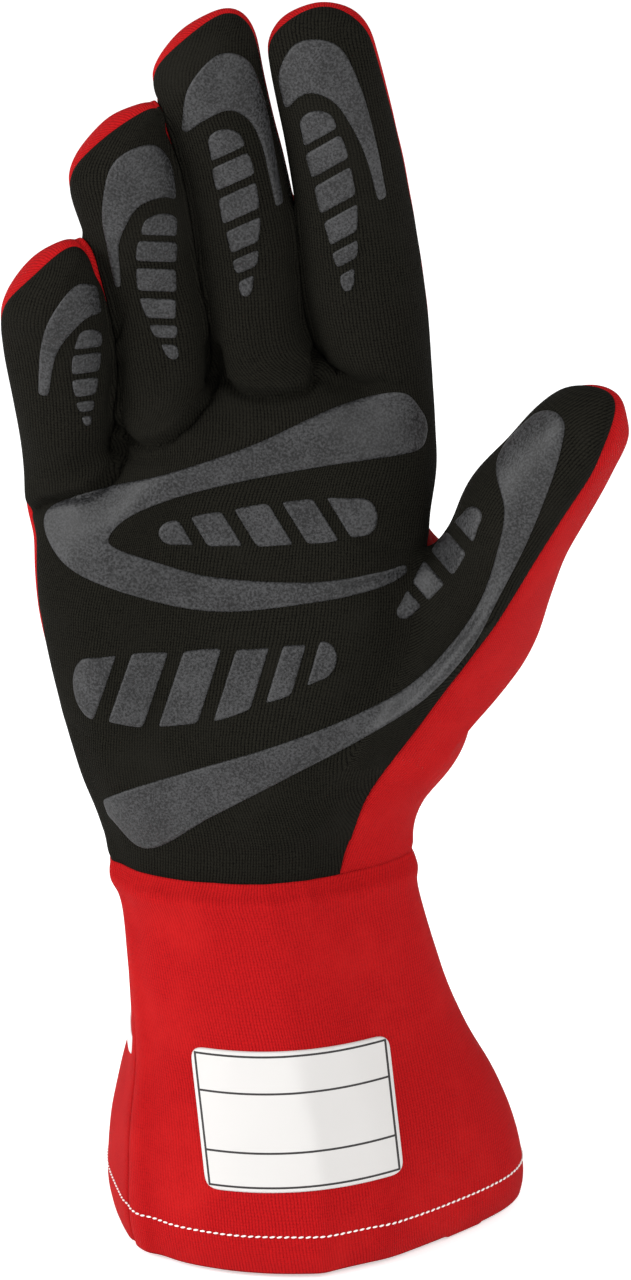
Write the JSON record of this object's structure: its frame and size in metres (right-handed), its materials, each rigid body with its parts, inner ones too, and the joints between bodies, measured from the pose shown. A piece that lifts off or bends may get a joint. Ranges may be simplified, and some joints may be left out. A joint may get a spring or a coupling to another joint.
{
  "type": "karting glove",
  "caption": "Right-hand karting glove in its worn shape, with knit hand, silicone grip pads on palm and fingers, and a flared cuff.",
  "frame": {"origin": "middle of the cuff's mouth, in the plane of the hem, where the forearm goes in", "axes": "+Z along the hand toward the fingertips, palm toward -Y, thumb toward +X"},
  "size_m": [0.1489, 0.0902, 0.3115],
  "materials": {
    "black_knit": "fine ribbed knit, matt",
    "red_knit": "fine ribbed knit, matt",
    "grey_silicone": "screen-printed silicone, slightly grainy satin",
    "white_cloth": "smooth woven label cloth, satin"
  },
  "bodies": {
    "root": {"back_panel": "red_knit", "cuff_back": "red_knit", "cuff_front": "red_knit", "cuff_stripe": "white_cloth", "label": "white_cloth", "pad_heel_bar_1": "grey_silicone", "pad_heel_bar_2": "grey_silicone", "pad_heel_bar_3": "grey_silicone", "pad_heel_bar_4": "grey_silicone", "pad_heel_bar_5": "grey_silicone", "pad_heel_bar_6": "grey_silicone", "pad_index_bar_1": "grey_silicone", "pad_index_bar_2": "grey_silicone", "pad_index_bar_3": "grey_silicone", "pad_index_bar_4": "grey_silicone", "pad_index_bar_5": "grey_silicone", "pad_index_bar_6": "grey_silicone", "pad_index_hood": "grey_silicone", "pad_little_bar_1": "grey_silicone", "pad_little_bar_2": "grey_silicone", "pad_little_bar_3": "grey_silicone", "pad_little_bar_4": "grey_silicone", "pad_little_bar_5": "grey_silicone", "pad_little_hood": "grey_silicone", "pad_middle_bar_1": "grey_silicone", "pad_middle_bar_2": "grey_silicone", "pad_middle_bar_3": "grey_silicone", "pad_middle_bar_4": "grey_silicone", "pad_middle_bar_5": "grey_silicone", "pad_middle_bar_6": "grey_silicone", "pad_middle_hood": "grey_silicone", "pad_palm_bar_1": "grey_silicone", "pad_palm_bar_2": "grey_silicone", "pad_palm_bar_3": "grey_silicone", "pad_palm_bar_4": "grey_silicone", "pad_palm_bar_5": "grey_silicone", "pad_palm_hook": "grey_silicone", "pad_ring_bar_1": "grey_silicone", "pad_ring_bar_2": "grey_silicone", "pad_ring_bar_3": "grey_silicone", "pad_ring_bar_4": "grey_silicone", "pad_ring_bar_5": "grey_silicone", "pad_ring_bar_6": "grey_silicone", "pad_ring_hood": "grey_silicone", "pad_thumb_bar_1": "grey_silicone", "pad_thumb_bar_2": "grey_silicone", "pad_thumb_bar_3": "grey_silicone", "pad_thumb_bar_4": "grey_silicone", "pad_thumb_sweep": "grey_silicone", "palm_panel": "black_knit"}
  },
  "joints": []
}
